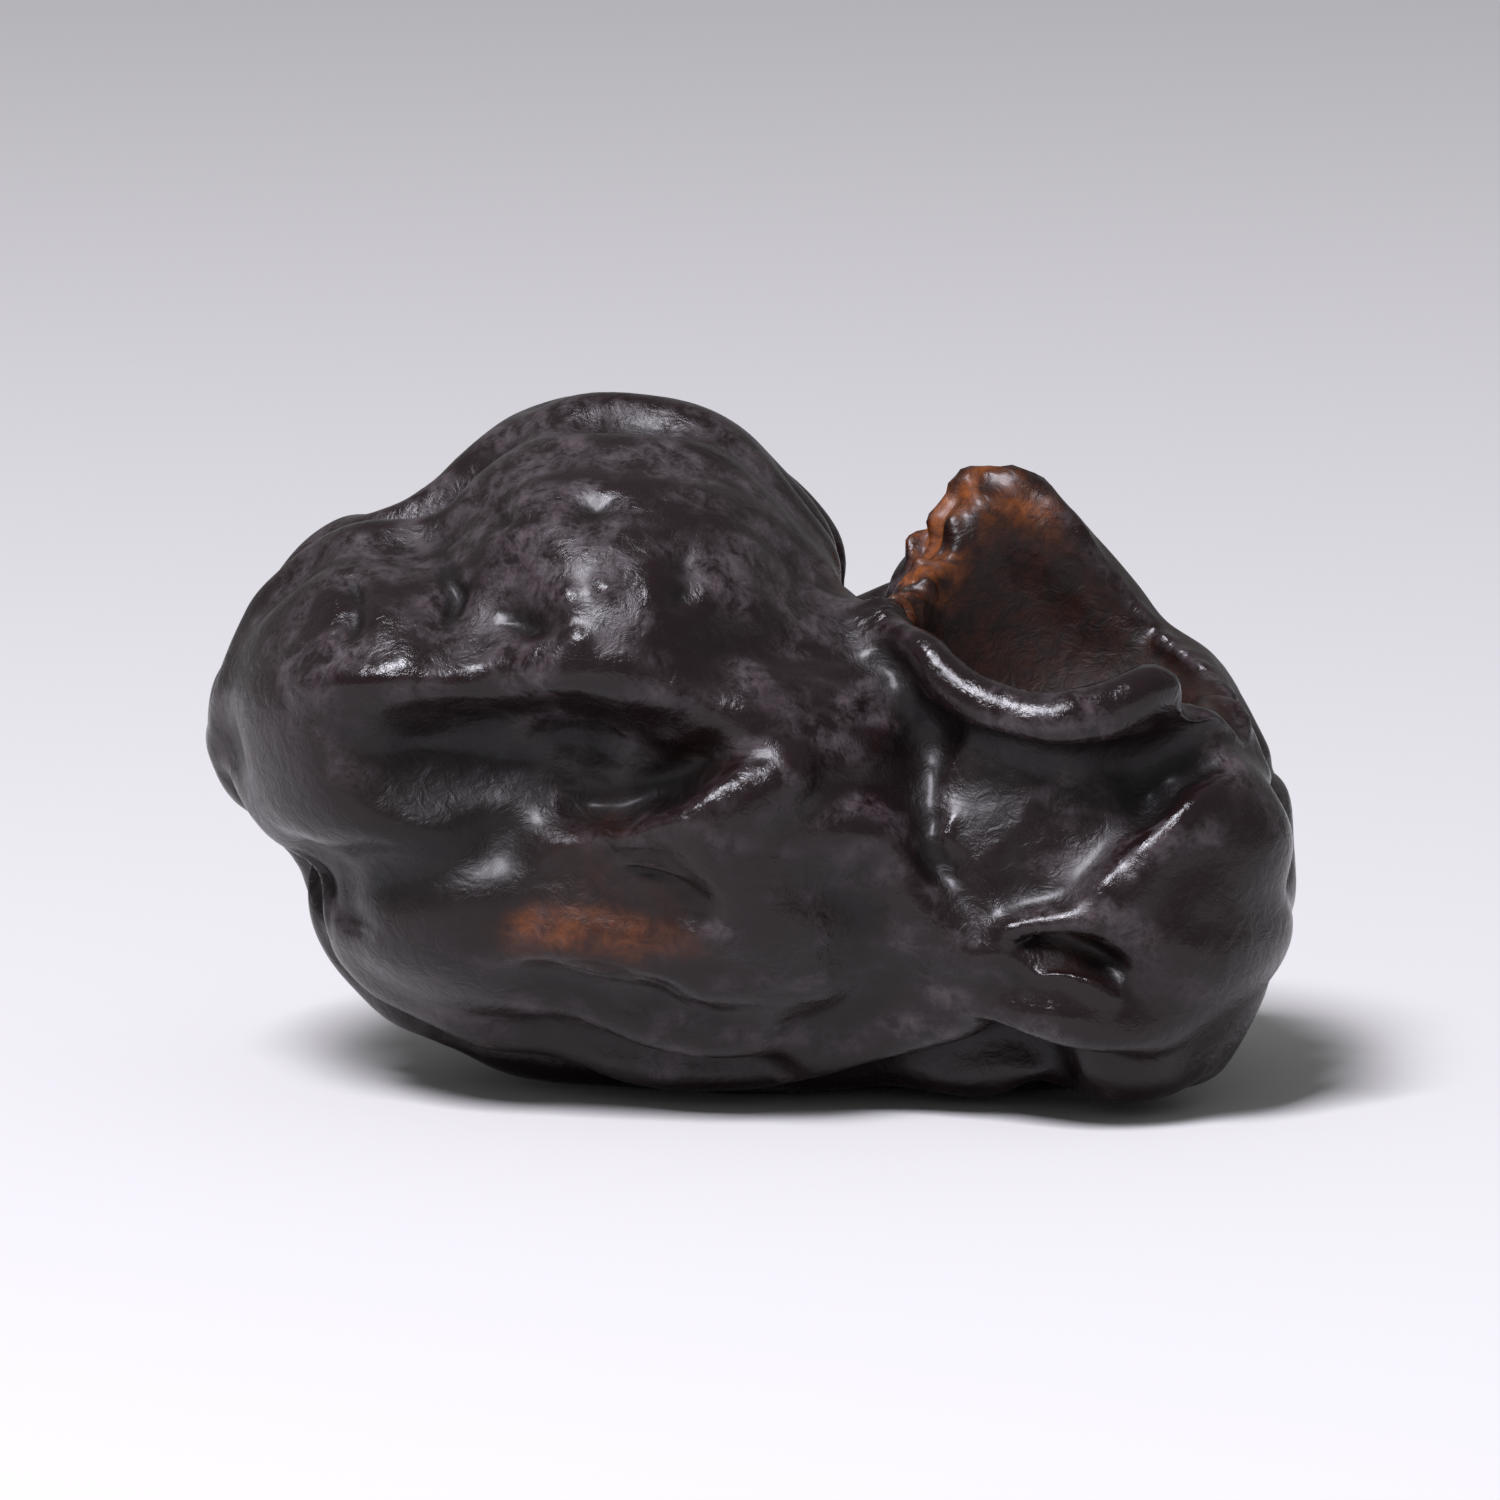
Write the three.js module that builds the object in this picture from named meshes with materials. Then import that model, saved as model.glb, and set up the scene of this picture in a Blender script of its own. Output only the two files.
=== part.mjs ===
// A pitted dried plum: one large fruit, its stone pressed out, dried until the flesh has sunk and the skin
// has gathered into folds. Skin and flesh grew as one piece and stay one solid.
// Millimetres, +Z up. The fruit lies along X, its rounded lobe at -X and the end where its folds meet at +X.
// The torn mouth that the stone left by opens upwards near +X. A smaller tear opens on the front, at -Y.
import * as THREE from "three";
import { mergeVertices } from "three/addons/utils/BufferGeometryUtils.js";

// Driving dimensions
const LENGTH = 40; // along X
const DEPTH = 27; // along Y
const HEIGHT = 25.5; // along Z, at rest

// The form is set out round the middle of the fruit, with the floor this far under it.
const FLOOR_Z = -12;

// The net that the skin is made of starts on a shell round the form, and is drawn in onto it.
const SHELL = new THREE.Vector3(21.5, 14.5, 14.5); // half lengths
const SKIN_DIVISIONS = 23; // cuts in each edge of the icosahedron
const DRAWING_STEPS = 80;
const DRAWING_SHARE = 0.7; // of the distance that is left, taken in one step
const EVENING_ROUNDS = 24;
const EVENING_SHARE = 0.5; // of the way to the middle of its neighbours, taken by a point in one round
const FLAT_SNAP = 0.05; // mm, under which a point belongs to the flat spot

const FOLD_ENDS = 0.45; // thickness of a fold's two ends, as a share of its middle's
const FOLD_STEPS = 5; // straight lengths between two of the places that a fold is drawn through

// The two ends that the folds run between, and how far they wander from the straight way.
const ROUND_END = new THREE.Vector3(-20, 0, 1);
const MEETING_END = new THREE.Vector3(20, -1, -0.5);
const WANDER = 0.35;

// How much longer the skin is than the flesh that it lies on, as shares of its length.
const SLACK_ROUND = 0.42; // round the fruit
const SLACK_ALONG = 0.07; // along it
const SLACK_FRONT = 0.1; // both ways on the calm front
const SLACK_TORN = 0.04; // both ways on the torn flesh and the lips
const SLACK_UNEVEN = 0.5; // how far all of these rise and fall from place to place
const FLAT_FADE = 1.5; // mm above the floor, over which the slack grows from none
const FRONT_FADE = 5; // mm from the middle forwards, over which the calm front begins
const FRONT_LOW = [-11, -7]; // heights between which it ends at its foot
const TORN_FADE = [0.3, 2]; // mm from the torn flesh or a lip, between which the slack goes back to full

// Stiffnesses of the skin, as shares of the way to rest in one round.
const PULL = 0.7; // along the skin
const BEND = 0.09; // against bending
const BED_OUT = 0.006; // of the flesh, against lifting off it
const BED_IN = 0.002; // and against sinking into it
const BED_ALONG = 0.02; // and against sliding over it
const FOLDING_ROUNDS = 900;
const FIRST_STIR = 0.3; // mm, the uneven start that the folds grow from
const SEED = 7;

const { clamp, degToRad, lerp, smoothstep } = THREE.MathUtils;

// Form: lobes, lips and hollows, joined and cut with soft seams
const join = (a, b, seam) => {
  const share = clamp(0.5 + (b - a) / (2 * seam), 0, 1);
  return b + (a - b) * share - seam * share * (1 - share);
};
const cut = (body, tool, seam) => -join(-body, tool, seam);

// Distance to an ellipsoid, near enough for a surface to be found from it.
const ball = (at, half, turn = [0, 0, 0]) => {
  const centre = new THREE.Vector3(...at);
  const radii = new THREE.Vector3(...half);
  const squares = radii.clone().multiply(radii);
  const euler = new THREE.Euler(...turn.map(degToRad));
  const unturn = new THREE.Matrix4().makeRotationFromEuler(euler).invert();
  const local = new THREE.Vector3();
  const scaled = new THREE.Vector3();
  return (p) => {
    local.copy(p).sub(centre).applyMatrix4(unturn);
    const near = scaled.copy(local).divide(radii).length();
    const slope = scaled.copy(local).divide(squares).length();
    return (near * (near - 1)) / Math.max(slope, 1e-6);
  };
};

// Distance to a round fold that runs through the points and thins towards both of its ends.
const fold = (radius, ...places) => {
  const curve = new THREE.CatmullRomCurve3(places.map((q) => new THREE.Vector3(...q)));
  const steps = FOLD_STEPS * (places.length - 1);
  const line = curve.getPoints(steps);
  const thick = line.map((_, i) => radius * (FOLD_ENDS + (1 - FOLD_ENDS) * Math.sin((Math.PI * i) / steps)));
  const along = new THREE.Vector3();
  const off = new THREE.Vector3();
  return (p) => {
    let least = Infinity;
    for (let i = 0; i < steps; i++) {
      along.copy(line[i + 1]).sub(line[i]);
      off.copy(p).sub(line[i]);
      const share = clamp(off.dot(along) / along.lengthSq(), 0, 1);
      const distance = off.addScaledVector(along, -share).length();
      least = Math.min(least, distance - lerp(thick[i], thick[i + 1], share));
    }
    return least;
  };
};

// The hollow that the stone left, and the small tear on the front.
const mouth = ball([11.6, -2.6, 7], [6.5, 5.4, 8.2]);
const tear = ball([-5.6, -12, -3.1], [3.8, 2.4, 1.3], [0, 8, 0]);
// The rim behind the mouth with its lip and the wall that bears it, and the lip in front of the mouth.
const FAR_RIM = [
  [5.4, 1.4, 3.2], [6.6, 2.5, 6.2], [7.8, 3.1, 8.2], [9.2, 3.5, 8.9], [11.2, 3.6, 7.2], [13.6, 3.3, 4.2],
  [16, 2.4, 1.8], [18, 0.8, 0],
];
const farLip = fold(1.3, ...FAR_RIM);
const farWall = fold(2.2, ...FAR_RIM.map(([x, y, z]) => [x, y + 0.4, z - 1.8]));
const nearLip = fold(
  1.4, [3.8, -5.2, 6.2], [5.4, -7.6, 5.2], [7.8, -9.3, 3.8], [10.8, -10, 2.9], [13.4, -9, 2.9],
  [15.7, -6.8, 2.8], [17.6, -3.6, 1],
);
// The ridge from the end where the folds meet down to the foot of the cheek.
const slantingFold = fold(
  1.2, [18, -4.2, 0], [16.8, -7, -0.2], [15, -9.3, -0.8], [13, -10.8, -2.2], [11.9, -11.3, -3.6],
  [10.2, -11.2, -4.6], [8.3, -10.6, -5.3],
);

// Each step joins a shape to the form or cuts it away, with the width of the soft seam between them.
const FORM = [
  // the body and its lobes
  [join, 0.1, ball([0, 0.5, -2.2], [16, 11.5, 10.2])],
  [join, 1.2, ball([-11.8, 0, 2.2], [8.3, 10.6, 7.2])],
  [join, 1.2, ball([-5.6, 0.3, 3.2], [9.2, 11.8, 9.6])],
  [join, 1.5, ball([-2.2, -0.6, -0.8], [9, 11.6, 9.4])],
  [join, 1.5, ball([-9.2, 0.2, -4], [7.8, 9.8, 5.8])],
  [join, 1.2, ball([8.8, 0.2, -3.2], [10.2, 11.4, 8.9])],
  // folds over the back, from the lobe towards the end where they meet, and the valleys between them
  [join, 0.8, fold(3, [-13, 7, 4], [-5, 10, 5], [3, 9.4, 1.6], [10, 9, 0], [15, 7, -1.4])],
  [join, 0.7, fold(2.6, [-17, 5, -2], [-10, 9.6, -3.6], [-2, 11, -1.6], [5, 10.6, -3.4], [9, 10.2, -6])],
  [join, 0.9, fold(3.2, [-4, 9.4, -8], [4, 9, -8.6], [12, 8.6, -6.4], [16.6, 3, -3.6])],
  [cut, 0.8, fold(1.3, [4, 13.6, 6], [9, 12.4, -1.6], [16, 8.4, -3.4])],
  [cut, 0.8, ball([-3, 14.6, -5.6], [7, 4.4, 1.6], [0, -12, 0])],
  // the walls behind and in front of the mouth, and the notch between them and the lobe
  [join, 1.2, ball([9.2, 4.4, 0.4], [6.2, 4, 7.8])],
  [join, 1, farWall],
  [join, 1.4, ball([11, -6.4, -1.6], [8, 4.4, 4.4])],
  [cut, 1.2, ball([4.4, 4, 9.8], [1.6, 9.5, 4.8], [0, 14, 0])],
  // the mouth, and the two lips on its rim
  [cut, 0.8, mouth],
  [join, 0.8, farLip],
  [join, 0.8, nearLip],
  // the full cheek low on the right, and the foot of the hollow, which goes down into it
  [join, 1, ball([13, -3.6, -4.2], [6.2, 7.6, 6.6])],
  [cut, 1, ball([11.8, -2.8, 4.6], [4.4, 3.6, 5.4])],
  // the furrow under the near lip, and the flat face below it
  [cut, 0.8, fold(
    1.4, [6, -11, 2.6], [8, -11.5, 1.5], [11, -11.8, 0.7], [14, -10.6, 0.8], [16.2, -8.4, 0.8],
  )],
  [cut, 0.8, ball([10.6, -14.3, -1.4], [4.8, 4.4, 2.6], [0, -32, 0])],
  // the ridge that slants up over the cheek to the end
  [join, 0.7, slantingFold],
  // the short slit at the foot of the ridge, and the slit's lower edge
  [cut, 0.6, fold(1, [9.2, -11.6, -5.6], [11.2, -12, -5.6], [13.4, -11.2, -6.4])],
  [join, 0.8, fold(1.2, [8.6, -9.8, -7.3], [11.2, -10.3, -7.5], [14, -9.4, -8])],
  // the waist between the lobe and the mouth
  [cut, 1, fold(
    1.3, [5.4, -9.8, 3.6], [6, -10.6, 2], [6.3, -10.9, 0], [6.6, -11, -1.8], [7.6, -11.4, -4.4],
  )],
  // soft upright furrows in the lobe
  [cut, 1.6, fold(1, [-9.6, -8.4, 10.2], [-9.8, -10.4, 8], [-10.8, -11.2, 6])],
  [cut, 1.6, fold(1.2, [-1.8, -9, 10.4], [-0.8, -10.8, 8], [-1.4, -12, 5.2])],
  // the hollow under the lobe, the crease at its lower edge, and the tear below that with its lip
  [cut, 1.2, ball([-9.8, -13.2, 1.3], [10, 4.7, 3.9])],
  [join, 1, fold(
    1.3, [0.8, -11.1, 1.2], [-1.2, -11.4, 0.2], [-3, -11.1, -1], [-5.6, -10.2, -1.8], [-8.4, -8.4, -1.9],
  )],
  [cut, 0.7, tear],
  [join, 0.8, fold(1.3, [-9.2, -8.6, -5.2], [-6.8, -9.7, -4.9], [-4.8, -10, -5.2], [-2.4, -9.6, -6.4])],
  // where the fruit rests: its weight has pressed a flat spot
  [cut, 0.05, (p) => p.z - FLOOR_Z],
];
const [[, , first], ...rest] = FORM;
const form = (p) => rest.reduce((body, [how, seam, tool]) => how(body, tool(p), seam), first(p));

// The way that the distance grows fastest at a point, judged over a step each way.
const slopeOf = (p, step = 0.02) => {
  const at = (x, y, z) => form(new THREE.Vector3(p.x + x, p.y + y, p.z + z));
  return new THREE.Vector3(
    at(step, 0, 0) - at(-step, 0, 0),
    at(0, step, 0) - at(0, -step, 0),
    at(0, 0, step) - at(0, 0, -step),
  ).divideScalar(2 * step);
};

// Skin: a fine net of triangles drawn in onto the form, then slid along it until it is even
const net = new THREE.IcosahedronGeometry(1, SKIN_DIVISIONS);
net.deleteAttribute("normal");
net.deleteAttribute("uv");
const skin = mergeVertices(net, 1e-5);
const corners = skin.index.array;
const points = [];
for (let i = 0; i < skin.attributes.position.count; i++) {
  const way = new THREE.Vector3().fromBufferAttribute(skin.attributes.position, i);
  const p = way.clone().multiply(SHELL);
  const inward = way.clone().divide(SHELL).normalize().negate();
  for (let step = 0; step < DRAWING_STEPS; step++) {
    p.addScaledVector(inward, DRAWING_SHARE * form(p));
  }
  points.push(p);
}

const neighbours = points.map(() => new Set());
for (let i = 0; i < corners.length; i += 3) {
  for (let k = 0; k < 3; k++) {
    neighbours[corners[i + k]].add(corners[i + ((k + 1) % 3)]);
    neighbours[corners[i + k]].add(corners[i + ((k + 2) % 3)]);
  }
}
const near = neighbours.map((set) => [...set]);

// Brings a point back onto the form.
const settle = (p) => {
  for (let step = 0; step < 2; step++) {
    const slope = slopeOf(p);
    p.addScaledVector(slope, -form(p) / Math.max(slope.lengthSq(), 0.2));
  }
};
for (let round = 0; round < EVENING_ROUNDS; round++) {
  const middles = near.map((list) => {
    const sum = new THREE.Vector3();
    list.forEach((j) => sum.add(points[j]));
    return sum.divideScalar(list.length);
  });
  points.forEach((p, i) => {
    p.lerp(middles[i], EVENING_SHARE);
    settle(p);
    if (p.z < FLOOR_Z + FLAT_SNAP) p.z = FLOOR_Z;
  });
}

// Folds: the skin is wider than the flesh that it lies on, so it buckles until it fits
// A small random draw between -0.5 and 0.5 that gives the same numbers on every run.
let seed = SEED;
const draw = () => {
  seed = (Math.imul(seed, 1664525) + 1013904223) >>> 0;
  return seed / 2 ** 32 - 0.5;
};

// A slow, uneven wave between -1 and 1, which varies the slack and turns the folds from place to place.
const wave = (p, turn) =>
  Math.sin(0.33 * p.x + 1.9 * Math.sin(0.21 * p.z + turn) + turn) *
  Math.sin(0.29 * p.y - 0.24 * p.z + 1.4 * Math.sin(0.17 * p.x - 2 * turn));

// The way that the folds run at a point: away from one end and towards the other, with some wander.
const wayAlong = (p) => {
  const from = p.clone().sub(ROUND_END);
  const to = MEETING_END.clone().sub(p);
  from.divideScalar(from.length() ** 3);
  to.divideScalar(to.length() ** 3);
  const way = from.add(to).normalize();
  way.y += WANDER * wave(p, 1);
  way.z += WANDER * wave(p, 2);
  return way.normalize();
};

const bed = points.map((p) => p.clone());
const out = bed.map((p) => slopeOf(p, 0.3).normalize());
const slack = bed.map((p) => {
  const high = smoothstep(p.z - FLOOR_Z, 0, FLAT_FADE);
  const front = smoothstep(1 - p.y, 0, FRONT_FADE) * smoothstep(p.z, ...FRONT_LOW);
  const thin = Math.min(mouth(p), tear(p), nearLip(p), farLip(p), slantingFold(p));
  const torn = 1 - smoothstep(thin, ...TORN_FADE);
  const uneven = 1 + SLACK_UNEVEN * wave(p, 3);
  return [SLACK_ROUND, SLACK_ALONG].map(
    (most) => high * uneven * lerp(lerp(most, SLACK_FRONT, front), SLACK_TORN, torn),
  );
});
const length = near.map((list, i) => {
  const way = wayAlong(bed[i]);
  return list.map((j) => {
    const edge = bed[j].clone().sub(bed[i]);
    const size = edge.length();
    const along = (edge.dot(way) / size) ** 2;
    const wide = [0, 1].map((k) => Math.min(slack[i][k], slack[j][k]));
    return size * (1 + lerp(wide[0], wide[1], along));
  });
});
points.forEach((p, i) => p.addScaledVector(out[i], FIRST_STIR * draw()));

const moved = points.map(() => new THREE.Vector3());
const lean = points.map(() => new THREE.Vector3());
const gap = new THREE.Vector3();
for (let round = 0; round < FOLDING_ROUNDS; round++) {
  near.forEach((list, i) => {
    lean[i].set(0, 0, 0);
    list.forEach((j) => lean[i].add(points[j]).sub(bed[j]));
    lean[i].divideScalar(list.length).sub(points[i]).add(bed[i]);
  });
  near.forEach((list, i) => {
    const move = moved[i].copy(lean[i]).multiplyScalar(BEND);
    list.forEach((j, k) => {
      gap.copy(points[j]).sub(points[i]);
      move.addScaledVector(gap, (PULL * (1 - length[i][k] / gap.length())) / list.length);
      move.addScaledVector(lean[j], -BEND / list.length);
    });
    gap.copy(points[i]).sub(bed[i]);
    const lift = gap.dot(out[i]);
    gap.addScaledVector(out[i], -lift);
    move.addScaledVector(gap, -BED_ALONG);
    move.addScaledVector(out[i], -lift * (lift > 0 ? BED_OUT : BED_IN));
  });
  points.forEach((p, i) => {
    p.add(moved[i]);
    if (slack[i][0] < 1e-3) p.copy(bed[i]);
    p.z = Math.max(p.z, FLOOR_Z);
  });
}

// Size: the finished skin is brought to its length, depth and height, its lowest points on z = 0
const box = new THREE.Box3().setFromPoints(points);
const size = box.getSize(new THREE.Vector3());
const middle = box.getCenter(new THREE.Vector3());
points.forEach((p, i) => {
  p.sub(middle).divide(size);
  skin.attributes.position.setXYZ(i, LENGTH * p.x, DEPTH * p.y, HEIGHT * (p.z + 0.5));
});

const plum = new THREE.Mesh(
  skin,
  new THREE.MeshStandardMaterial({ color: 0x1c1416, roughness: 0.4, metalness: 0 }),
);
plum.name = "plum";

const group = new THREE.Group();
group.add(plum);
export default group;
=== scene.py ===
"""A plum dried with its stone pushed out: one wrinkled fruit, resting on the flat spot of its underside."""

import math

import bmesh
import bpy
import numpy as np
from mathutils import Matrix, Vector


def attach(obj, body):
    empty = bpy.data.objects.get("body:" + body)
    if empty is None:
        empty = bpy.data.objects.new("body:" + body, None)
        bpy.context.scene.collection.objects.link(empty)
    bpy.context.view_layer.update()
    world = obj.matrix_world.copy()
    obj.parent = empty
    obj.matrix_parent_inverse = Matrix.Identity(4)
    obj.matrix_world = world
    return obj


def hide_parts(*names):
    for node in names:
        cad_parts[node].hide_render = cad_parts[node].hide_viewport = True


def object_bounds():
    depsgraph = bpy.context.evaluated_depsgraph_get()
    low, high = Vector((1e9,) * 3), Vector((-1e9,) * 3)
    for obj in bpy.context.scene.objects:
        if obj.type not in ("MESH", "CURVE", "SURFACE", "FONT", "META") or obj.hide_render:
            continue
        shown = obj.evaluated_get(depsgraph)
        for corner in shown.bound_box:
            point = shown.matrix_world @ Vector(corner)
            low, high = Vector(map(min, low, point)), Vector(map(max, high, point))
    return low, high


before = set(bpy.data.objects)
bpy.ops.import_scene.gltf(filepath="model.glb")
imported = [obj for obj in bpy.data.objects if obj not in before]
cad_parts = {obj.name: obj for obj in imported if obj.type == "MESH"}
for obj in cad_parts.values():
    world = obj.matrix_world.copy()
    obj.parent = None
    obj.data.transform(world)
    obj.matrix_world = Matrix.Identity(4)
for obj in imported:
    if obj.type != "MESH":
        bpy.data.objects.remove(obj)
cad_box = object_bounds()

# The fruit: skin and flesh dried together into one closed surface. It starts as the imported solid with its
# facets rounded off. Every length up to the finished mesh is in millimetres.
MM = 0.001
WELD_M = 2e-6


def split(values, triangles):
    """Every triangle becomes four, rounded off by Loop's rule. A new point on a side is three eighths of
    each of the side's ends and an eighth of each point across it. An old point is five eighths itself and
    three eighths the mean of its neighbours. values may have more columns than a place, and all are carried
    over alike."""
    count = len(values)
    starts = triangles.ravel()
    ends = np.roll(triangles, -1, axis=1).ravel()
    across = np.roll(triangles, -2, axis=1).ravel()
    key = np.minimum(starts, ends) * count + np.maximum(starts, ends)
    sides, side_of = np.unique(key, return_inverse=True)
    share = (values[starts] + values[ends]) * 3 / 16 + values[across] / 8
    middle = np.stack([np.bincount(side_of, column, len(sides)) for column in share.T], axis=1)
    total = np.stack([np.bincount(starts, column, count) for column in values[ends].T], axis=1)
    old = values * 5 / 8 + total / np.bincount(starts, minlength=count)[:, None] * 3 / 8
    a, b, c = triangles.T
    ab, bc, ca = side_of.reshape(-1, 3).T + count
    four = [(a, ab, ca), (b, bc, ab), (c, ca, bc), (ab, bc, ca)]
    return np.vstack([old, middle]), np.vstack([np.stack(t, axis=1) for t in four])


def neighbours_of(triangles, count):
    """A row for each point with its neighbours: the far ends of the sides that start there. A point with
    fewer neighbours than most has itself in the places left over."""
    starts = triangles.ravel()
    ends = np.roll(triangles, -1, axis=1).ravel()
    order = np.argsort(starts, kind="stable")
    starts, ends = starts[order], ends[order]
    place = np.arange(len(starts)) - np.searchsorted(starts, np.arange(count))[starts]
    table = np.tile(np.arange(count)[:, None], (1, place.max() + 1))
    table[starts, place] = ends
    return table


def soften(values, table, rounds):
    """Each value goes halfway to the mean of its neighbours' values, in as many rounds as are asked for."""
    for _ in range(rounds):
        values = (values + values[table].mean(axis=1)) / 2
    return values


def outward(places, triangles):
    """The way out of the surface at each point: the sum of its triangles' cross products, made one long."""
    a, b, c = (places[triangles[:, n]] for n in range(3))
    cross = np.cross(b - a, c - a)
    way = np.zeros_like(places)
    for n in range(3):
        for axis in range(3):
            way[:, axis] += np.bincount(triangles[:, n], cross[:, axis], len(places))
    return way / np.linalg.norm(way, axis=1)[:, None]


welded = bmesh.new()
welded.from_mesh(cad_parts["plum"].data)
bmesh.ops.remove_doubles(welded, verts=welded.verts, dist=WELD_M)
body = bpy.data.meshes.new("welded")
welded.to_mesh(body)
welded.free()
places = np.empty(len(body.vertices) * 3)
body.vertices.foreach_get("co", places)
places = places.reshape(-1, 3) / MM
triangles = np.empty(len(body.loops), np.int64)
body.loops.foreach_get("vertex_index", triangles)
triangles = triangles.reshape(-1, 3)
bpy.data.meshes.remove(body)
places, triangles = split(places, triangles)

# The broad wrinkles: the skin is larger than the shrunken flesh, so it stands up in folds that run from the
# round end to the end where the plum hung on its stalk. The front and the torn flesh in the mouth are
# nearly smooth.
ROUND_END = np.array([-20.0, 0.0, 13.0])
STALK_END = np.array([20.0, -1.0, 11.5])
MOUTH_AT = np.array([12.0, -2.8, 19.6])
MOUTH_HALF = np.array([6.6, 5.7, 8.5])
TILT = math.radians(9)
VIEW = np.array([[1, 0, 0], [0, math.sin(TILT), math.cos(TILT)], [0, -math.cos(TILT), math.sin(TILT)]])
TO_EYE = VIEW[2]
RNG = np.random.default_rng(11)
# The first unevenness in mm. Then, for each round: how strongly the sides stretch back and the skin resists
# bending, how much of its speed a point keeps, and how the flesh holds one that rises, sinks or slides.
FIRST_RIPPLE = 0.12
STRETCH = 0.7
BEND = 0.08
SPEED_KEPT = 0.85
HOLD_RISING = 0.7
HOLD_SINKING = 1.6
HOLD_SLIDING = 0.02
# How much too large the skin is at the back, and how much less so on the front and where it is torn.
BACK_SLACK = 0.13
FRONT_LESS = 0.1
TORN_LESS = 0.85


def lengthwise(places):
    """The way that the folds run at each place: from one end of the fruit and to the other, each pulling by
    one over the square of its distance."""
    leave, reach = places - ROUND_END, STALK_END - places
    way = leave / (leave**2).sum(1)[:, None] + reach / (reach**2).sum(1)[:, None]
    return way / np.linalg.norm(way, axis=1)[:, None]


def crumple(places, triangles, slack, along, width, rounds):
    """Wrinkles a surface whose sides have all grown by their share of slack, fully across the lengthwise
    way and by the share along on it. Each side pulls or pushes its ends towards its new length, the flesh
    holds each point to its old place, more against going in than out, and the skin resists bending. The
    pattern's width is in sides."""
    table = neighbours_of(triangles, len(places))
    sides = places[table] - places[:, None]
    length = np.linalg.norm(sides, axis=2) + 1e-9
    run = (np.einsum("nki,ni->nk", sides, lengthwise(places)) / length) ** 2
    grown = length * (1 + (slack[:, None] + slack[table]) / 2 * (1 - run * (1 - along)))
    bed = BEND * ((2 * math.pi / width) ** 2 / 4) ** 2
    out = outward(places, triangles)
    here = places + out * soften(RNG.normal(0, 1, len(places)), table, 2)[:, None] * FIRST_RIPPLE
    flat = places[table].mean(axis=1) - places
    flat = flat[table].mean(axis=1) - flat
    speed = np.zeros_like(here)
    for _ in range(rounds):
        sides = here[table] - here[:, None]
        now = np.linalg.norm(sides, axis=2) + 1e-9
        pull = (sides * (1 - grown / now)[:, :, None]).mean(axis=1)
        curl = here[table].mean(axis=1) - here
        curl = curl[table].mean(axis=1) - curl
        moved = here - places
        rise = (moved * out).sum(1)
        hold = np.where(rise > 0, bed * HOLD_RISING, bed * HOLD_SINKING)[:, None]
        speed = speed * SPEED_KEPT + STRETCH * pull - BEND * (curl - flat) - hold * rise[:, None] * out
        speed -= HOLD_SLIDING * (moved - rise[:, None] * out)
        here = here + speed
    return here


def fade(values, none, full):
    """Runs smoothly from 0 where the values reach none to 1 where they reach full."""
    share = np.clip((values - none) / (full - none), 0, 1)
    return share * share * (3 - 2 * share)


def in_mouth(places):
    """How far each place lies outside the stone's hollow, which is an ellipsoid. Less than 0 is inside."""
    local = (places - MOUTH_AT) / MOUTH_HALF
    return (np.linalg.norm(local, axis=1) - 1) * MOUTH_HALF.mean()


def calm(places, way):
    """One on the smooth front, nothing on the folded back and on the lowest millimetre."""
    return fade((way * TO_EYE).sum(1), -0.35, 0.35) * fade(places[:, 2], 1, 4)


def torn_at(places):
    """One in the hollow and nothing on the skin, with 1.2 mm between them."""
    return 1 - fade(in_mouth(places), 0.2, 1.4)


smooth = calm(places, outward(places, triangles))
slack = (BACK_SLACK - FRONT_LESS * smooth) * (1 - TORN_LESS * torn_at(places)) * fade(places[:, 2], 0, 1.2)
places = crumple(places, triangles, slack, along=0.45, width=6.0, rounds=160)
places, triangles = split(places, triangles)

# The folds that the photograph shows on the front. The skin is drawn over the view to where it lies there
# and eased where it is calm. Then each fold rises or sinks along a line, with its corners given to the
# right and up, in mm.
NEAR_LIP = [(4.2, 17.6), (5.5, 16.2), (8, 14.6), (11, 13.8), (13.5, 14.1), (15.6, 14.8)]
UNDER_NEAR_LIP = [(5.6, 14.3), (8, 13.0), (11, 12.2), (13.4, 12.4), (15.6, 13)]
FAR_RIM = [(10.4, 22.0), (12.2, 19.9), (13.8, 17.8), (15.3, 16.1), (17.2, 14.5), (18.6, 12.8)]
TORN_EDGE = [(5.4, 18.0), (6.3, 19.6), (6.9, 20.9), (7.9, 22.0), (9.3, 22.6), (10.6, 21.9)]
AMBER_LIP = [(-9.2, 5.5), (-6.8, 5.5), (-4.8, 5.3), (-3.2, 4.9)]
SLANTING_RIDGE = [(18.4, 11.7), (16.6, 10.8), (15, 9.8), (13.6, 8.5)]
SLANTING_RIDGE += [(12.6, 7.2), (11.6, 6.3), (10.2, 6.0), (8.6, 5.4)]
# Each place that the skin is drawn from, how far it moves, and the radius over which it does.
DRAWN = [((15.8, 13.4), (0.3, 1.6), 2.4), ((8.3, 13.6), (0, -0.8), 2.6), ((9, 21.8), (-0.5, 0.6), 2.2)]
# The amber lip, the face above the slanting ridge and the face beside the waist, each with its radius.
EASED = [((-5, 6.4), 2.8), ((11.8, 8), 2.8), ((8, 10.2), 2.2)]
EASING_ROUNDS = 200
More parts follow.
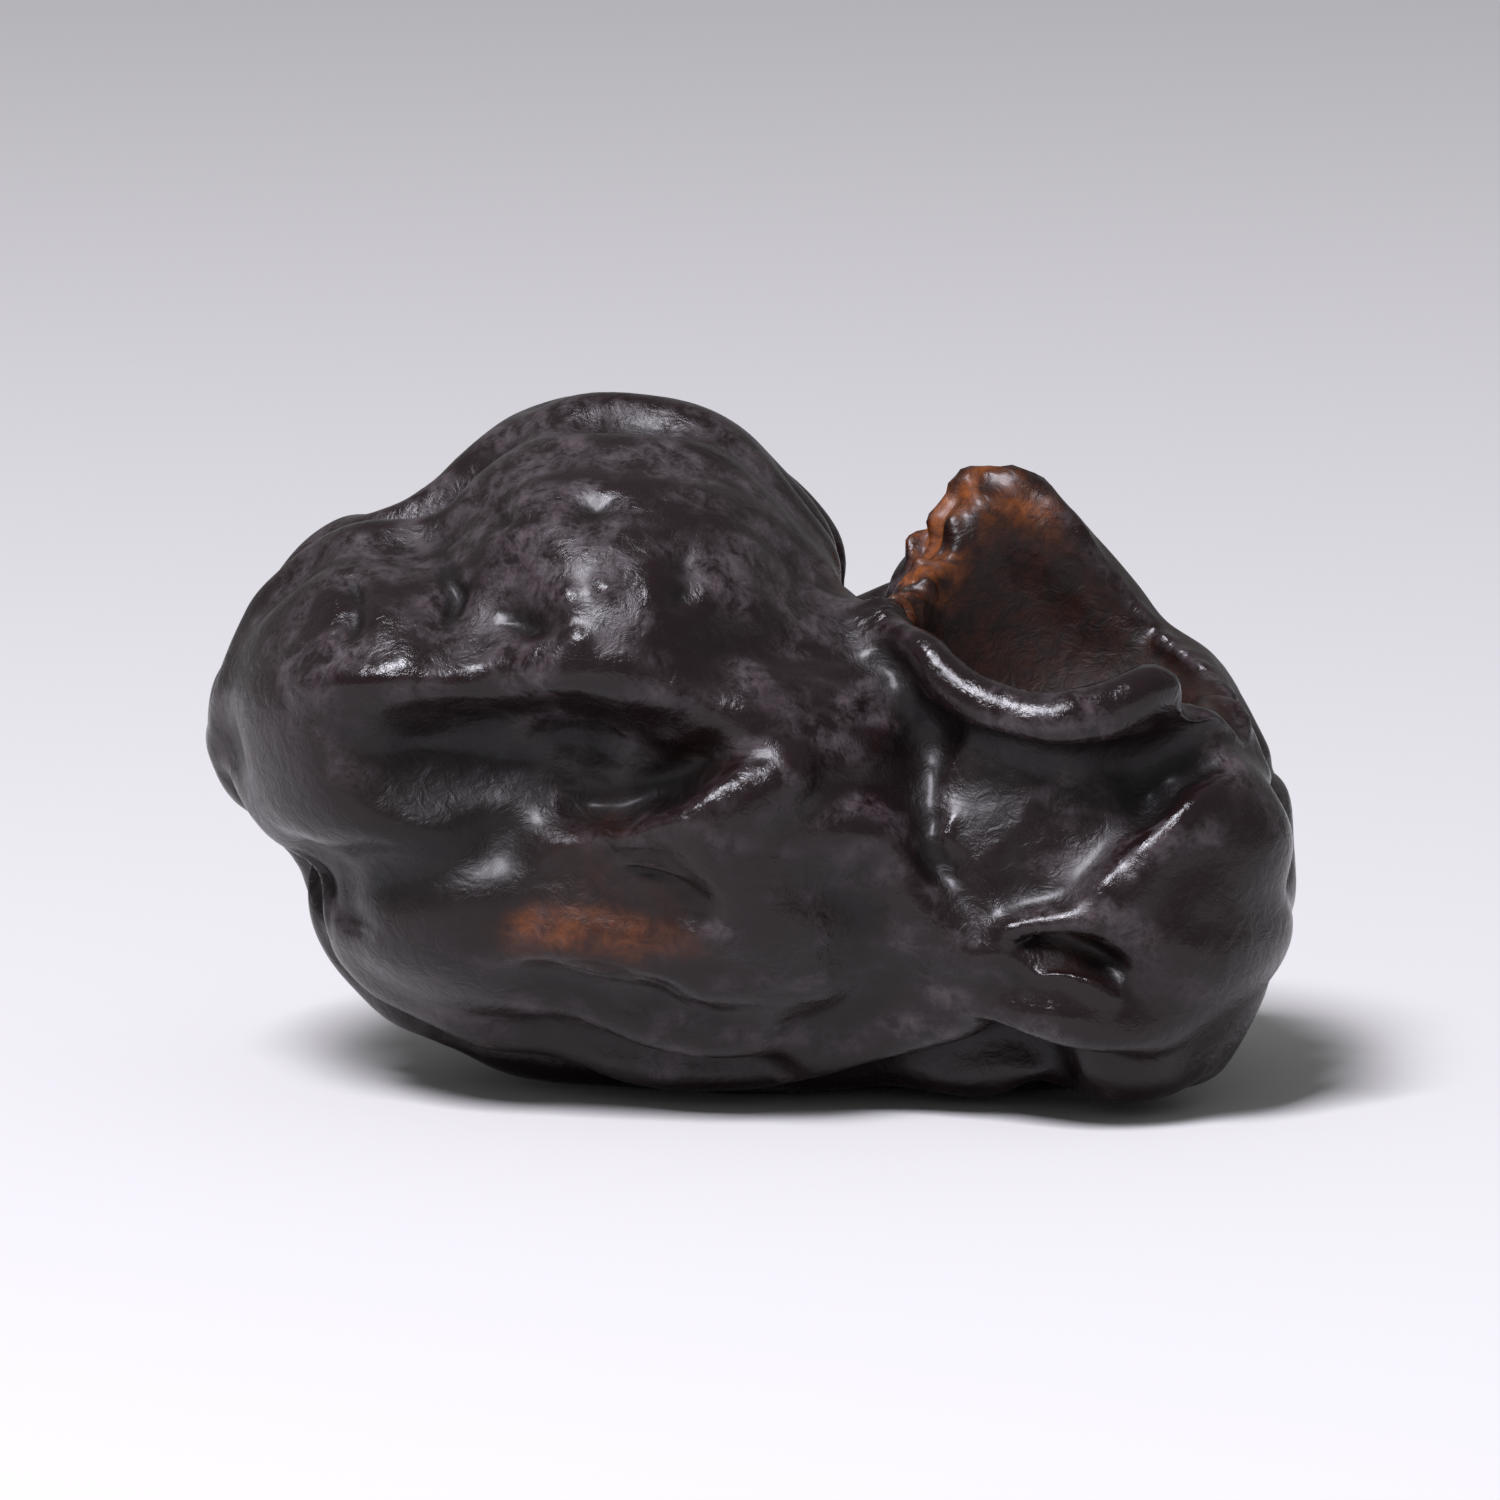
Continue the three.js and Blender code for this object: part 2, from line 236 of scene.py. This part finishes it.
# Each fold's line, its width and height in mm, and how crisp it is.
FOLDS = {
    "near lip": (NEAR_LIP, 0.9, 0.3, 2),
    "far rim": (FAR_RIM, 0.32, 0.4, 1.6),
    "slanting ridge": (SLANTING_RIDGE, 0.7, 0.12, 2),
    "middle of the slanting ridge": ([(13.3, 8.1), (12, 6.7), (10.6, 6.1)], 0.9, 0.12, 2),
    "small tear": ([(9.3, 5.1), (11.5, 5.0), (13.7, 4.1)], 0.42, -0.95, 2),
    "edge below the tear": ([(9.6, 4.3), (11.5, 3.8), (13.6, 2.9)], 0.45, 0.6, 1.5),
    "waist": ([(4.5, 17.2), (5.4, 15), (6.1, 12.5), (6.4, 10.5), (6.6, 9), (7.4, 7)], 0.7, -0.4, 2),
    "curl beside the waist": ([(7.3, 7.6), (7.0, 9.0), (7.4, 10.3)], 0.35, 0.28, 1.6),
    "crease": ([(-6.2, 9.2), (-4.6, 8.9), (-2.5, 9.5), (-1, 10.7), (0.6, 11.9)], 0.5, 0.4, 1.4),
    "groove above the crease": ([(-7, 10.4), (-4.6, 10.2), (-2.8, 10.9), (-1.4, 12.0)], 0.8, -0.5, 2),
    "brow": ([(-17, 14.4), (-12, 14.7), (-9, 14.6), (-5, 14.4), (-3, 12.9), (-1.6, 11.9)], 1.0, 0.35, 1.8),
    "under the brow": ([(-16, 12.6), (-12, 12.8), (-7, 12.6), (-4.4, 11.9)], 1.3, -0.35, 2),
    "amber lip": (AMBER_LIP, 0.7, 0.15, 2),
    "left furrow of the lobe": ([(-14.6, 19), (-14.3, 17.4), (-14.6, 15.8)], 0.5, -0.42, 2),
    "middle furrow of the lobe": ([(-11.2, 19.4), (-10.7, 17.8), (-10.9, 16)], 0.5, -0.42, 2),
    "right furrow of the lobe": ([(-2.7, 20), (-2.2, 18.4), (-2.5, 16.6)], 0.7, -0.35, 2),
    "left dimple": ([(-9.6, 21.6), (-9.2, 20.6), (-9.5, 19.7)], 0.6, -0.55, 2),
    "upper dimple": ([(-7, 21), (-5.4, 20.7), (-4.2, 20.9)], 0.6, -0.5, 2),
    "lower dimple": ([(-9.2, 17), (-7.8, 16.6), (-6.6, 16.9)], 0.55, -0.5, 2),
    "soft groove low in the middle": ([(-4.2, 3.4), (-1, 2.6), (3, 2.9)], 0.8, -0.2, 2),
    "soft groove left of the tear": ([(0.6, 7.8), (3, 6.9), (5.2, 5.2)], 0.9, -0.18, 2),
    "soft groove at the round end": ([(-16.8, 8.6), (-15.4, 6.4), (-13.6, 5.2)], 0.7, -0.3, 2),
    "soft groove at the stalk end": ([(15.6, 6.8), (17, 5.4), (17.4, 3.8)], 0.9, -0.14, 2),
}
UNEVEN_SHARE = 0.25
# Beside each fold that hangs over: its line with the lower skin to the right, how deep that lies, and where
# it is deepest and where it ends, in mm from the line.
HANGING = {
    "slanting ridge": (SLANTING_RIDGE, 0.55, 0.55, 3.6),
    "near lip": (UNDER_NEAR_LIP, 1.0, 0.6, 5.8),
    "above the amber lip": ([(-1.2, 5.4), (-4.8, 6.7), (-9, 6.3)], 0.12, 1.4, 3.5),
    "below the amber lip": ([(-9.4, 4.8), (-6, 4.6), (-2, 3.7)], 0.25, 0.6, 2.5),
}
# Small bumps that catch the light, and the ragged torn edge.
GRAINS = [(-2.5, 14), (3.6, 13.5), (5.4, 13), (-5.2, 17.9), (-6.6, 17.6), (-7.8, 18.2), (-6.2, 16)]
GRAIN_RADIUS = 0.45
GRAIN_HEIGHT = 0.16
RAGGED_WIDTH = 0.9
RAGGED_HEIGHT = 0.27


def mottle(table, rounds):
    """Soft noise on the surface, with a spread of one. More rounds make its patches wider."""
    noise = soften(RNG.normal(0, 1, len(table)), table, rounds)
    return (noise - noise.mean()) / noise.std()


def seen(places):
    """Where each place stands as the photograph shows the fruit, from 9 degrees above its front: how far to
    the right, how far up, and how far towards the eye."""
    return places @ VIEW.T


def near_line(places, way, corners):
    """How far each place is from a line drawn over the photograph's view, how far along the line its
    nearest point is, how much of the place counts, which is nothing where the surface turns from the eye or
    lies 4 mm behind the front, how long the line is, and whether the place is to its right. Places well
    over 6 mm away are left out."""
    spacing, reach, beside, nowhere = 0.2, 6.0, 0.5, 99.0
    view = seen(places)
    corners = np.array(corners, float)
    stops = np.concatenate([[0], np.cumsum(np.linalg.norm(np.diff(corners, axis=0), axis=1))])
    along = np.linspace(0, stops[-1], int(stops[-1] / spacing) + 2)
    line = np.stack([np.interp(along, stops, corners[:, k]) for k in range(2)], axis=1)
    low, high = line.min(0) - reach, line.max(0) + reach
    some = np.flatnonzero(((view[:, :2] > low) & (view[:, :2] < high)).all(1))
    gaps = np.linalg.norm(view[some, None, :2] - line[None], axis=2)
    nearest = gaps.argmin(1)
    front = np.where(gaps < beside, view[some, 2][:, None], -nowhere).max(0)
    distance = np.full(len(places), nowhere)
    distance[some] = gaps.min(1)
    run = np.zeros(len(places))
    run[some] = along[nearest]
    counts = np.zeros(len(places))
    counts[some] = fade(view[some, 2] - front[nearest], -4, -2.5) * fade((way[some] * TO_EYE).sum(1), 0, 0.3)
    right = np.zeros(len(places))
    if len(corners) > 1:
        ahead, off = np.gradient(line, axis=0)[nearest], view[some, :2] - line[nearest]
        right[some] = ahead[:, 0] * off[:, 1] < ahead[:, 1] * off[:, 0]
    return distance, run, counts, stops[-1], right


def stroke(places, way, corners, width, height, crisp):
    """How far each place rises for a ridge along a line, or sinks for a groove: the height, times e to the
    power of minus the distance over the width to the power crisp, fading over 1.5 mm at both ends of the
    line."""
    distance, run, counts, whole, _ = near_line(places, way, corners)
    ends = fade(np.minimum(run, whole - run), -0.3, 1.5)
    return height * counts * ends * np.exp(-((distance / width) ** crisp))


def ledge(places, way, corners, depth, near, far):
    """How far each place sinks to the right of a line: by the depth at the near distance, and less and less
    from there to the far distance, as beside a fold that hangs over. It fades over 2 mm at both ends of the
    line."""
    distance, run, counts, whole, right = near_line(places, way, corners)
    ends = fade(np.minimum(run, whole - run), -0.3, 2)
    return depth * counts * ends * right * fade(distance, 0, near) * fade(distance, far, near)


def patch(places, way, corners, width):
    """A soft patch along a line, or round a single corner: one on it, and e times less a width away."""
    distance, _, counts, _, _ = near_line(places, way, corners)
    return counts * np.exp(-((distance / width) ** 2))


def draw_over(places, at, move, radius):
    """Moves the skin over the view, most at one place and e times less a radius away. The back stays."""
    view = seen(places)
    gap = np.linalg.norm(view[:, :2] - at, axis=1)
    share = np.exp(-((gap / radius) ** 2)) * fade(view[:, 2], -7, -2)
    return places + share[:, None] * (np.array(move) @ VIEW[:2])


for at, move, radius in DRAWN:
    places = draw_over(places, at, move, radius)
table = neighbours_of(triangles, len(places))
way = soften(outward(places, triangles), table, 4)
way /= np.linalg.norm(way, axis=1)[:, None]
uneven = mottle(table, 30)
uneased = np.ones(len(places))
for at, radius in EASED:
    uneased *= 1 - fade(patch(places, way, [at], radius), 0, 0.7)
eased = 1 - uneased
places = places + (soften(places, table, EASING_ROUNDS) - places) * eased[:, None]
way = soften(outward(places, triangles), table, 4)
way /= np.linalg.norm(way, axis=1)[:, None]
rise = np.zeros(len(places))
for corners, width, height, crisp in FOLDS.values():
    rise += stroke(places, way, corners, width, height, crisp) * (1 + UNEVEN_SHARE * uneven)
drop = sum(ledge(places, way, *hanging) for hanging in HANGING.values())
rise -= soften(drop, table, 9)
for at in GRAINS:
    rise += GRAIN_HEIGHT * patch(places, way, [at], GRAIN_RADIUS)
rise += RAGGED_HEIGHT * mottle(table, 6) * patch(places, way, TORN_EDGE, RAGGED_WIDTH)
places = places + way * rise[:, None]

# The fine wrinkles lie between the others, and are weakest on the front, the torn flesh and the eased
# places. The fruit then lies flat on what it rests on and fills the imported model's box.
FINE_BACK_SLACK = 0.11
FINE_FRONT_LESS = 0.075
FINE_UNEVEN = 0.02
FINE_TORN_LESS = 0.6
FINE_EASED_LESS = 0.7
smooth = calm(places, way)
slack = FINE_BACK_SLACK - FINE_FRONT_LESS * smooth + FINE_UNEVEN * np.clip(uneven, -1, 2) * smooth
slack = slack * (1 - FINE_TORN_LESS * torn_at(places)) * (1 - FINE_EASED_LESS * eased)
places = crumple(places, triangles, slack * fade(places[:, 2], 0, 1), along=0.6, width=5.0, rounds=120)
places[:, 2] = np.maximum(places[:, 2], 0)
low, high = places.min(0), places.max(0)
cad_low, cad_high = (np.array(corner) / MM for corner in cad_box)
places = cad_low + (places - low) * (cad_high - cad_low) / (high - low)

# What shows at each place, for the material below: bare brown flesh, thin amber flesh, the skin's grey bloom
# mixed with painted light, and how sunk the place is, from 1 in a crease to -1 on a ridge, which also paints
# shade into the creases.
BARE_PATCHES = [((-1.6, 12), 0.9), ((-5, 9.6), 1.1), ((-3, 7), 1.4), ((-5.8, 7.4), 1.8), ((11.6, 4.8), 0.8)]
BARE_SHARE = 0.75
TORN_AMBER_WIDTH = 1.5
# Each line of amber along the lip, its width in mm, and how much of it shows.
AMBER_LINES = [(AMBER_LIP, 0.8, 0.36), ([(-8.6, 6), (-5, 5.9), (-1.2, 4.7)], 0.5, 0.26)]
# The width of the painted highlight along the far rim, in mm.
PAINTED_RIM_HIGHLIGHT_WIDTH = 0.4
FRUIT_HEIGHT = 25
# Low on the left the bloom is left out, so the skin shows darker there: painted shade.
PAINTED_SHADE_AT = (-12, 8)
PAINTED_SHADE_RADIUS = 4.5
CREASE_DEPTH = 0.12
# The dull places, each with its radius and how much more sunk it shows. Sunk places are also painted darker,
# so these are painted shade as well as duller skin.
DULL_AND_SHADED_PATCHES = [((-11, 8.8), 4.2, 1.3), ((8.6, 10), 1.7, 0.8)]

way = soften(outward(places, triangles), table, 1)
sunk = ((soften(places, table, 14) - places) * way).sum(1) / CREASE_DEPTH
for at, radius, share in DULL_AND_SHADED_PATCHES:
    sunk = sunk + share * patch(places, way, [at], radius)
flesh = 1 - fade(in_mouth(places) + 0.15 * mottle(table, 4), 0.3, 1.0)
for at, radius in BARE_PATCHES:
    flesh = np.maximum(flesh, BARE_SHARE * patch(places, way, [at], radius))
amber = patch(places, way, TORN_EDGE, TORN_AMBER_WIDTH)
amber = amber * fade(mottle(table, 5), -1.2, 0.8) * fade(places[:, 1], -6, -3.5)
for corners, width, share in AMBER_LINES:
    amber = np.maximum(amber, stroke(places, way, corners, width, share, 2.5) * (1 + 0.3 * mottle(table, 8)))
# A thin line of the bloom's grey along the far rim is a painted highlight on the flap's edge, and no flesh
# shows under it.
rim = patch(places, way, FAR_RIM, PAINTED_RIM_HIGHLIGHT_WIDTH)
flesh = flesh * (1 - rim)
# The bloom is painted thicker towards the top: painted light from above, with painted shade below.
height_for_painted_light = places[:, 2] / FRUIT_HEIGHT - 0.45
bloom_and_painted_light = fade(mottle(table, 40) + 0.7 * mottle(table, 12) + 2 * height_for_painted_light, -0.8, 1.8)
bloom_and_painted_light = np.maximum(bloom_and_painted_light * (1 - patch(places, way, [PAINTED_SHADE_AT], PAINTED_SHADE_RADIUS)), rim)
shows = {"flesh": flesh, "amber": amber, "bloom_and_painted_light": bloom_and_painted_light * (1 - flesh), "sunk": np.clip(sunk, -1, 1)}

fruit_mesh = bpy.data.meshes.new("dried_plum")
fruit_mesh.from_pydata((places * MM).tolist(), [], triangles.tolist())
fruit_mesh.polygons.foreach_set("use_smooth", np.ones(len(triangles), bool))
for name, values in shows.items():
    fruit_mesh.attributes.new(name, "FLOAT", "POINT").data.foreach_set("value", values.astype(np.float32))
fruit_mesh.update()
fruit = bpy.data.objects.new("dried_plum", fruit_mesh)
bpy.context.scene.collection.objects.link(fruit)

# Dried plum skin: nearly black, a little violet, waxy and glossy on its ridges, with dull creases and a thin
# grey-violet bloom in patches. The creases are also painted darker as painted shade. The bloom's grey also
# paints light: there is more of it towards the top, it makes a painted highlight along the far rim, and it
# is left out low on the left as painted shade. Torn places show the flesh: dark brown in the hollow, amber
# where it is thin.
SKIN_COLOUR = "#190f10"
BLOOM_AND_PAINTED_LIGHT_COLOUR = "#463e41"
PAINTED_CREASE_SHADE_COLOUR = "#0d0606"
FLESH_COLOURS = {"flesh": ("#140a07", "#2a120a"), "amber": ("#45200c", "#8a4a17")}
# Each noise's patches to the millimetre, its detail, roughness and distortion.
NOISES = {
    "dust_and_painted_light": (1.1, 8, 0.72, 0.3),
    "fibre": (1.2, 5, 0.65, 1.2),
    "gloss": (2.4, 4, 0.55, 0.0),
    "grain": (4.0, 4, 0.6, 0.0),
    "pucker": (1.3, 5, 0.6, 0.8),
}
MIX_SHARE, MIX_UNDER, MIX_OVER, MIXED = 0, 6, 7, 2


def linear(code):
    """An sRGB hex colour as linear red, green and blue, with an alpha of one."""
    parts = [int(code[i : i + 2], 16) / 255 for i in (1, 3, 5)]
    return [p / 12.92 if p <= 0.04045 else ((p + 0.055) / 1.055) ** 2.4 for p in parts] + [1.0]


def add(tree, kind, sockets=None, out=0, **settings):
    """Adds a node to a tree and gives the output that out names. settings are the node's own properties,
    and sockets gives its inputs, by name or number, values or other nodes' outputs."""
    made = tree.nodes.new(kind)
    for name, value in settings.items():
        setattr(made, name, value)
    for name, value in (sockets or {}).items():
        if isinstance(value, bpy.types.NodeSocket):
            tree.links.new(value, made.inputs[name])
        else:
            made.inputs[name].default_value = value
    return made.outputs[out]


skin = bpy.data.materials.new("Dried plum skin and flesh")
skin.use_nodes = True
tree = skin.node_tree
shown = {name: add(tree, "ShaderNodeAttribute", out="Fac", attribute_name=name) for name in shows}
place = add(tree, "ShaderNodeTexCoord", out="Object")
noise = {}
for name, (per_mm, detail, rough, warp) in NOISES.items():
    sockets = {"Scale": per_mm / MM, "Detail": detail, "Roughness": rough, "Distortion": warp}
    noise[name] = add(tree, "ShaderNodeTexNoise", {"Vector": place, **sockets})
# The bloom gives the eye the dusty grey that breaks up the shine, in patches of about 1 mm that thin to
# specks. The same grey also carries the painted light from above and the painted highlight along the far
# rim.
patchy = add(tree, "ShaderNodeMapRange", {"Value": noise["dust_and_painted_light"], "From Min": 0.42, "From Max": 0.64})
dust_and_painted_light = add(tree, "ShaderNodeMath", {0: shown["bloom_and_painted_light"], 1: patchy}, operation="MULTIPLY")
# Creases and sunk places are painted towards near black: painted shade.
crease_shade = add(tree, "ShaderNodeMapRange", {"Value": shown["sunk"], "From Min": 0.1, "From Max": 0.9})
layers = [(dust_and_painted_light, linear(BLOOM_AND_PAINTED_LIGHT_COLOUR)), (crease_shade, linear(PAINTED_CREASE_SHADE_COLOUR))]
# Flesh: drawn-out fibres in uneven patches of about 0.8 mm, brown in the hollow and amber where it is thin.
fibre = add(tree, "ShaderNodeMapRange", {"Value": noise["fibre"], "From Min": 0.35, "From Max": 0.7})
for name, (dark, light) in FLESH_COLOURS.items():
    sockets = {MIX_SHARE: fibre, MIX_UNDER: linear(dark), MIX_OVER: linear(light)}
    layers.append((shown[name], add(tree, "ShaderNodeMix", sockets, MIXED, data_type="RGBA")))
colour = linear(SKIN_COLOUR)
for share, over in layers:
    sockets = {MIX_SHARE: share, MIX_UNDER: colour, MIX_OVER: over}
    colour = add(tree, "ShaderNodeMix", sockets, MIXED, data_type="RGBA")
# The shine: satin on the calm skin, glossier on ridges, dull under the bloom, in the creases and on torn
# flesh.
sockets = {"Value": noise["gloss"], "From Min": 0.3, "From Max": 0.7, "To Min": 0.25, "To Max": 0.37}
shine = add(tree, "ShaderNodeMapRange", sockets)
for fact, share in [(dust_and_painted_light, 0.25), (shown["sunk"], 0.18), (shown["flesh"], 0.2), (shown["amber"], 0.3)]:
    shine = add(tree, "ShaderNodeMath", {0: fact, 1: share, 2: shine}, operation="MULTIPLY_ADD")
# The finest creases: a net of 0.25 mm grains and longer wrinkles of 0.7 mm, which break the highlights into
# points.
sockets = {"Height": noise["grain"], "Strength": 0.35, "Distance": 0.05 * MM}
grained = add(tree, "ShaderNodeBump", sockets)
sockets = {"Height": noise["pucker"], "Strength": 0.5, "Distance": 0.18 * MM, "Normal": grained}
puckered = add(tree, "ShaderNodeBump", sockets)

shader = tree.nodes["Principled BSDF"]
for name, output in {"Base Color": colour, "Roughness": shine, "Normal": puckered}.items():
    tree.links.new(output, shader.inputs[name])
for name, value in {"Specular IOR Level": 0.28, "Coat Weight": 0.15, "Coat Roughness": 0.22}.items():
    shader.inputs[name].default_value = value
fruit_mesh.materials.append(skin)
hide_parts("plum")
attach(fruit, "root")

# The studio's floor: a round sheet of matt pale paper, so wide that no edge is in sight.
FLOOR_RADIUS_M = 4.0
FLOOR_SIDES = 96
PAPER_COLOUR = "#cfcecd"
PAPER_ROUGHNESS = 0.9
turn = np.linspace(0, 2 * math.pi, FLOOR_SIDES, endpoint=False)
ring = np.stack([np.cos(turn), np.sin(turn), np.zeros_like(turn)], axis=1) * FLOOR_RADIUS_M
floor_mesh = bpy.data.meshes.new("floor")
floor_mesh.from_pydata(ring.tolist(), [], [list(range(FLOOR_SIDES))])
floor = bpy.data.objects.new("floor", floor_mesh)
bpy.context.scene.collection.objects.link(floor)
paper = bpy.data.materials.new("Matt white studio paper")
paper.use_nodes = True
paper.node_tree.nodes["Principled BSDF"].inputs["Base Color"].default_value = linear(PAPER_COLOUR)
paper.node_tree.nodes["Principled BSDF"].inputs["Roughness"].default_value = PAPER_ROUGHNESS
floor_mesh.materials.append(paper)

# The studio's light: one square soft box above the left front, and a faint even light from all around.
SOFT_BOX_AT_M = (-0.2, -0.34, 0.62)
SOFT_BOX_AIM_M = (0, 0, 0.012)
SOFT_BOX_SIDE_M = 0.24
SOFT_BOX_W = 8.5
AROUND_STRENGTH = 0.3
world = bpy.data.worlds.new("studio")
world.use_nodes = True
world.node_tree.nodes["Background"].inputs["Color"].default_value = linear("#f2f3f6")
world.node_tree.nodes["Background"].inputs["Strength"].default_value = AROUND_STRENGTH
bpy.context.scene.world = world
light = bpy.data.lights.new("soft_box", "AREA")
light.energy = SOFT_BOX_W
light.size = SOFT_BOX_SIDE_M
light.color = linear("#f6f4ff")[:3]
soft_box = bpy.data.objects.new("soft_box", light)
bpy.context.scene.collection.objects.link(soft_box)
soft_box.location = SOFT_BOX_AT_M
soft_box.rotation_euler = (Vector(SOFT_BOX_AIM_M) - soft_box.location).to_track_quat("-Z", "Y").to_euler()
soft_box.visible_camera = False

# The camera: a long lens at the photograph's height, 9 degrees above the fruit.
LENS_MM = 300
CAMERA_AWAY_M = 0.46
CAMERA_AIM_M = (0, 0, 0.0122)
CLIP_M = (0.01, 20)
camera = bpy.data.cameras.new("camera")
camera.lens = LENS_MM
camera.clip_start, camera.clip_end = CLIP_M
eye = bpy.data.objects.new("camera", camera)
bpy.context.scene.collection.objects.link(eye)
bpy.context.scene.camera = eye
back = Vector((0, -math.cos(TILT), math.sin(TILT)))
eye.location = Vector(CAMERA_AIM_M) + back * CAMERA_AWAY_M
eye.rotation_euler = (-back).to_track_quat("-Z", "Y").to_euler()
bpy.context.scene.view_settings.view_transform = "Standard"
